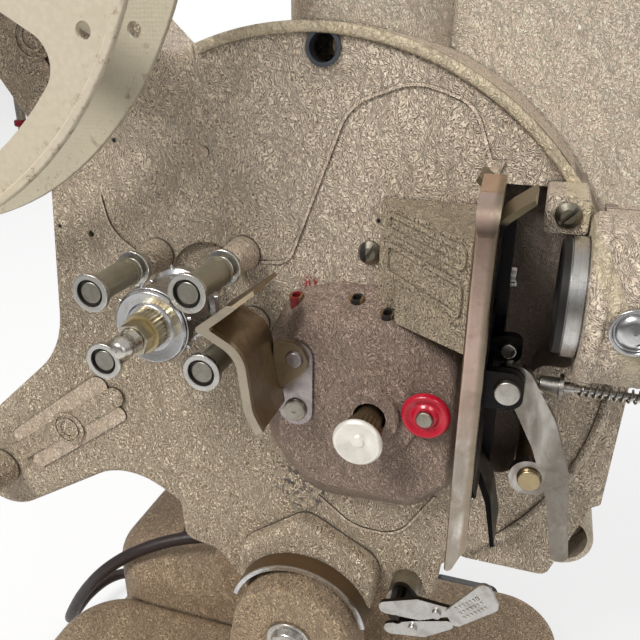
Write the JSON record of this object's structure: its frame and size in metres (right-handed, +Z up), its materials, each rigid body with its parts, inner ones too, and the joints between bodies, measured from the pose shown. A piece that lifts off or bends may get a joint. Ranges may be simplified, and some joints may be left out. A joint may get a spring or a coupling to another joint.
{
  "type": "film projector",
  "caption": "Tabletop sixteen-millimetre film projector: tilting head with lamp house, round drum, film path, gate, lens and reel arms on a cast base, with one reel.",
  "frame": {"origin": "bottom centre of the whole projector's box, on the surface it stands on", "axes": "+Z up, +X the way the lens points, -Y towards the film side where the operator stands"},
  "size_m": [0.3098, 0.1436, 0.3743],
  "materials": {
    "crackle_paint": "wrinkled taupe enamel",
    "nickel": "nickelled steel",
    "stipple_paint": "fine stippled taupe enamel",
    "glass": "clear glass",
    "alu": "turned aluminium",
    "mirror": "silvered",
    "steel": "plain steel",
    "red_plastic": "moulded red plastic",
    "white_plastic": "moulded white plastic",
    "black_metal": "matt black finish",
    "copper": "windings and steel",
    "brass": "brass",
    "polished_bar": "polished, slightly yellowed steel",
    "bright_chrome": "polished chrome",
    "black_plastic": "moulded black plastic",
    "brown_paint": "brown enamel",
    "rubber": "black rubber",
    "reel_paint": "embossed cream enamel",
    "base_paint": "smooth hammered taupe enamel"
  },
  "bodies": {
    "base": {"base_casting": "base_paint", "bottom_plate": "black_metal", "rubber_feet": "rubber", "power_inlet": "black_plastic", "pivot_bolt": "nickel"},
    "head": {"main_casting": "crackle_paint", "screws_and_bushes": "nickel", "back_plate": "crackle_paint", "rear_housing": "crackle_paint", "lamp_house": "stipple_paint", "lamp_bulb": "glass", "lamp_socket": "alu", "condenser_lenses": "glass", "light_housing": "crackle_paint", "mirror": "mirror", "mechanism_cover": "crackle_paint", "pivot_pins": "steel", "film_claw": "steel", "motor_case": "black_metal", "roller_studs": "steel", "gate_bar": "polished_bar", "gate_plate": "bright_chrome", "lens_tube": "crackle_paint", "pivot_guard": "brown_paint", "takeup_belt": "rubber", "supply_lead": "rubber"},
    "cap": {"lamp_cap": "stipple_paint"},
    "red_guide": {"red_roller": "red_plastic"},
    "drive": {"inching_knob": "white_plastic", "main_shaft": "steel", "shutter": "alu", "motor_rotor": "copper"},
    "idler": {"idler_gear": "steel"},
    "film_sprocket": {"sprocket": "alu", "sprocket_nut": "brass", "sprocket_shaft": "steel"},
    "roller_upper_left": {"film_roller_upper_left": "alu"},
    "roller_upper_right": {"film_roller_upper_right": "alu"},
    "roller_lower_left": {"film_roller_lower_left": "alu"},
    "roller_lower_right": {"film_roller_lower_right": "alu"},
    "shoe": {"film_shoe": "nickel", "shoe_link": "nickel"},
    "gate_slide_body": {"gate_carriage": "black_metal", "gate_rod": "nickel", "gate_spring": "steel"},
    "lever": {"gate_lever": "nickel"},
    "lens": {"lens_barrel": "alu", "lens_glass": "glass"},
    "focus": {"focus_pinion": "steel", "focus_knob": "black_plastic"},
    "clamp": {"lens_clamp": "bright_chrome"},
    "still": {"still_lever": "nickel"},
    "supply_reel": {"supply_spindle": "nickel", "reel_flanges": "reel_paint", "reel_hub": "reel_paint"},
    "takeup": {"takeup_spindle": "nickel"},
    "button": {"arm_button": "red_plastic"},
    "dial": {"speed_dial": "black_plastic"},
    "lamp_toggle": {"lamp_switch": "bright_chrome"},
    "motor_toggle": {"motor_switch": "bright_chrome"}
  },
  "joints": [
    {"name": "head_tilt", "type": "hinge", "parent": "base", "child": "head", "pos_m": [0.0388, -0.0152, 0.082], "axis": [0, -1, 0], "range_deg": [0, 8], "deforming": ["supply_lead"]},
    {"name": "drive_spin", "type": "hinge", "parent": "head", "child": "drive", "pos_m": [0.0593, -0.0152, 0.158], "axis": [0, 1, 0], "continuous": true},
    {"name": "idler_spin", "type": "hinge", "parent": "head", "child": "idler", "pos_m": [0.03534, -0.0152, 0.15939], "axis": [0, 1, 0], "continuous": true},
    {"name": "sprocket_spin", "type": "hinge", "parent": "head", "child": "film_sprocket", "pos_m": [0.0113, -0.0152, 0.182], "axis": [0, 1, 0], "continuous": true},
    {"name": "takeup_spin", "type": "hinge", "parent": "head", "child": "takeup", "pos_m": [-0.0707, -0.0152, 0.107], "axis": [0, 1, 0], "continuous": true},
    {"name": "supply_reel_spin", "type": "hinge", "parent": "head", "child": "supply_reel", "pos_m": [-0.0659, -0.0152, 0.2853], "axis": [0, 1, 0], "continuous": true},
    {"name": "roller_upper_left_spin", "type": "hinge", "parent": "head", "child": "roller_upper_left", "pos_m": [-0.0033, -0.0352, 0.1887], "axis": [0, 1, 0], "continuous": true},
    {"name": "roller_upper_right_spin", "type": "hinge", "parent": "head", "child": "roller_upper_right", "pos_m": [0.0216, -0.0352, 0.19155], "axis": [0, 1, 0], "continuous": true},
    {"name": "roller_lower_left_spin", "type": "hinge", "parent": "head", "child": "roller_lower_left", "pos_m": [-0.00205, -0.0352, 0.1716], "axis": [0, 1, 0], "continuous": true},
    {"name": "roller_lower_right_spin", "type": "hinge", "parent": "head", "child": "roller_lower_right", "pos_m": [0.0237, -0.0352, 0.17255], "axis": [0, 1, 0], "continuous": true},
    {"name": "red_roller_spin", "type": "hinge", "parent": "head", "child": "red_guide", "pos_m": [0.0729, -0.0302, 0.1614], "axis": [0, 1, 0], "continuous": true},
    {"name": "shoe_swing", "type": "hinge", "parent": "head", "child": "shoe", "pos_m": [0.0399, -0.0287, 0.1562], "axis": [0, 1, 0], "range_deg": [0, 20]},
    {"name": "gate_slide", "type": "slide", "parent": "head", "child": "gate_slide_body", "axis": [1, 0, 0], "range_m": [0, 0.005], "stiffness_N_per_m": 150, "deforming": ["gate_spring"]},
    {"name": "gate_lever_turn", "type": "hinge", "parent": "head", "child": "lever", "pos_m": [0.0971, -0.0415, 0.1574], "axis": [0, 1, 0], "range_deg": [0, 13.2]},
    {"name": "lens_focus", "type": "slide", "parent": "head", "child": "lens", "axis": [1, 0, 0], "range_m": [0, 0.005]},
    {"name": "focus_knob_turn", "type": "hinge", "parent": "head", "child": "focus", "pos_m": [0.1253, -0.0552, 0.17769], "axis": [0, 1, 0], "range_deg": [0, 98]},
    {"name": "lens_clamp_turn", "type": "hinge", "parent": "head", "child": "clamp", "pos_m": [0.11035, -0.0552, 0.19755], "axis": [0, -1, 0], "range_deg": [0, 90]},
    {"name": "still_lever_push", "type": "hinge", "parent": "head", "child": "still", "pos_m": [0.0687, -0.0292, 0.0965], "axis": [0, 1, 0], "range_deg": [0, 12]},
    {"name": "arm_button_press", "type": "slide", "parent": "head", "child": "button", "axis": [0, 0, 1], "range_m": [0, 0.002], "stiffness_N_per_m": 200},
    {"name": "lamp_cap_open", "type": "hinge", "parent": "head", "child": "cap", "pos_m": [0.0923, 0.0686, 0.3184], "axis": [-1, 0, 0], "range_deg": [0, 100]},
    {"name": "speed_dial_turn", "type": "hinge", "parent": "base", "child": "dial", "pos_m": [-0.0087, -0.0592, 0.025], "axis": [0, 1, 0], "range_deg": [0, 270]},
    {"name": "lamp_switch_flip", "type": "hinge", "parent": "base", "child": "lamp_toggle", "pos_m": [0.0853, -0.0577, 0.013], "axis": [-1, 0, 0], "range_deg": [0, 50]},
    {"name": "motor_switch_flip", "type": "hinge", "parent": "base", "child": "motor_toggle", "pos_m": [0.1013, -0.0577, 0.013], "axis": [-1, 0, 0], "range_deg": [0, 50]}
  ],
  "couplings": [
    {"joint": "idler_spin", "follows": "drive_spin", "ratio": -0.33333},
    {"joint": "sprocket_spin", "follows": "drive_spin", "ratio": 0.125},
    {"joint": "takeup_spin", "follows": "drive_spin", "ratio": 0.097222},
    {"joint": "gate_lever_turn", "follows": "gate_slide", "rad_per_m": 45.7},
    {"joint": "focus_knob_turn", "follows": "lens_focus", "rad_per_m": 340}
  ]
}
